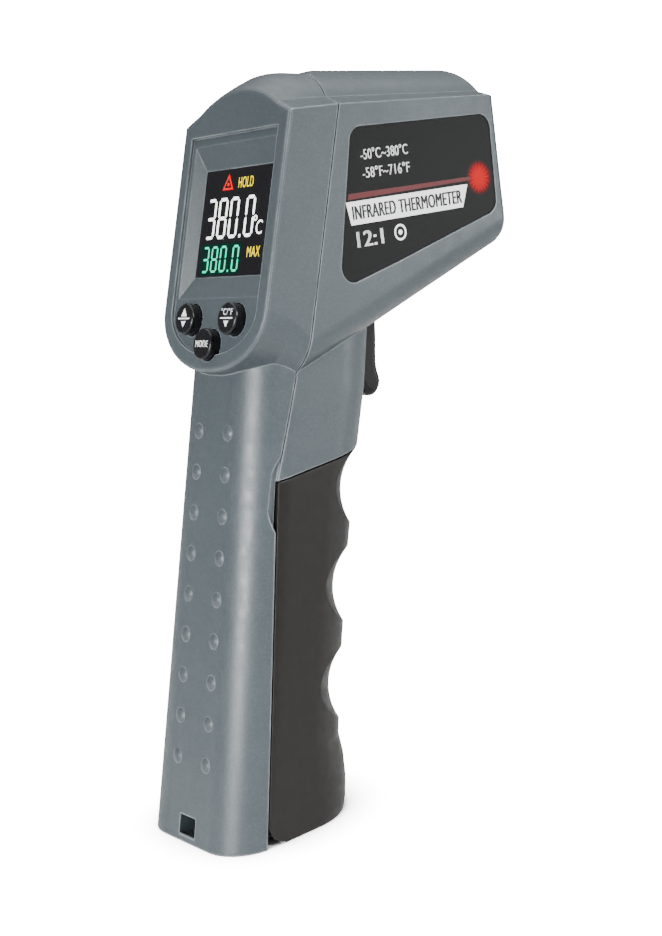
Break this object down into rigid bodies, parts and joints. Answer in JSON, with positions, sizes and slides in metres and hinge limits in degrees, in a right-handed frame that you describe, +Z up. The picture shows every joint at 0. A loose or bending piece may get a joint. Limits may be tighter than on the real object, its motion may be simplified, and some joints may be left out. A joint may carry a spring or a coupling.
{
  "type": "infrared thermometer",
  "caption": "Pistol-shaped infrared thermometer with a raked handle, finger-grip battery door, trigger, buttons, recessed display and a lens in the nose.",
  "frame": {"origin": "centre of the base, on the plane it stands on", "axes": "+X towards the nose, +Y to the left of a person holding it, +Z up, from the base to the barrel"},
  "size_m": [0.0944, 0.037, 0.1522],
  "materials": {
    "shell": "fine matt mould texture, blue-grey",
    "grip": "satin near-black moulding",
    "dark_plastic": "matt black moulding",
    "button": "satin black caps with white printed signs",
    "trigger": "satin black moulding",
    "label": "printed charcoal film",
    "display": "black glossy window with lit digits",
    "glass_panel": "display glass",
    "steel": "bright steel",
    "brass": "turned brass",
    "contact": "nickel plate",
    "cell": "plain wrapped cell",
    "board": "green board",
    "chip": "black epoxy",
    "dark_rubber": "soft rubber",
    "lens": "milky film lens with fine rings",
    "clear": "clear",
    "lead": "insulated wire"
  },
  "bodies": {
    "body": {"battery_leads": "lead", "battery_left": "cell", "battery_right": "cell", "battery_tray": "dark_plastic", "board_chips": "chip", "board_screws": "steel", "button_switches": "steel", "buzzer": "chip", "case_screws": "steel", "contact_plates": "contact", "contact_springs": "contact", "display_connector": "dark_rubber", "display_window": "display", "door_hinge_pin": "steel", "front_shell": "shell", "infrared_sensor": "steel", "label_left": "label", "label_right": "label", "laser_module": "brass", "laser_window": "clear", "lcd_panel": "glass_panel", "lens": "lens", "main_board": "board", "nose_ring": "dark_plastic", "optical_tube": "dark_plastic", "rear_shell": "shell", "sensor_board": "board", "sensor_leads": "lead", "tray_screws": "steel", "trigger_pin": "steel", "trigger_spring": "steel", "trigger_switch": "chip"},
    "door": {"battery_door": "grip"},
    "trigger_lever": {"trigger": "trigger"},
    "switch_actuator": {"switch_plunger": "dark_rubber"},
    "up_button": {"button_up": "button", "plunger_up": "chip"},
    "unit_button": {"button_unit": "button", "plunger_unit": "chip"},
    "mode_button": {"button_mode": "button", "plunger_mode": "chip"}
  },
  "joints": [
    {"name": "door_hinge", "type": "hinge", "parent": "body", "child": "door", "pos_m": [-0.0066, 0, 0.0036], "axis": [0, 1, 0], "range_deg": [0, 80]},
    {"name": "trigger_pull", "type": "hinge", "parent": "body", "child": "trigger_lever", "pos_m": [0.0415, 0, 0.111], "axis": [0, 1, 0], "range_deg": [0, 5.5], "stiffness_Nm_per_rad": 0.6, "springref_deg": -3.44, "deforming": ["trigger_spring"]},
    {"name": "switch_press", "type": "slide", "parent": "body", "child": "switch_actuator", "axis": [-1, 0, 0], "range_m": [0, 0.0016]},
    {"name": "up_press", "type": "slide", "parent": "body", "child": "up_button", "axis": [0.9511, 0, -0.309], "range_m": [0, 0.0006], "stiffness_N_per_m": 2500, "springref_m": -0.0001},
    {"name": "unit_press", "type": "slide", "parent": "body", "child": "unit_button", "axis": [0.9511, 0, -0.309], "range_m": [0, 0.0006], "stiffness_N_per_m": 2500, "springref_m": -0.0001},
    {"name": "mode_press", "type": "slide", "parent": "body", "child": "mode_button", "axis": [0.9511, 0, -0.309], "range_m": [0, 0.0006], "stiffness_N_per_m": 2500, "springref_m": -0.0001}
  ],
  "couplings": [
    {"joint": "switch_press", "follows": "trigger_pull", "m_per_rad": 0.0153}
  ]
}
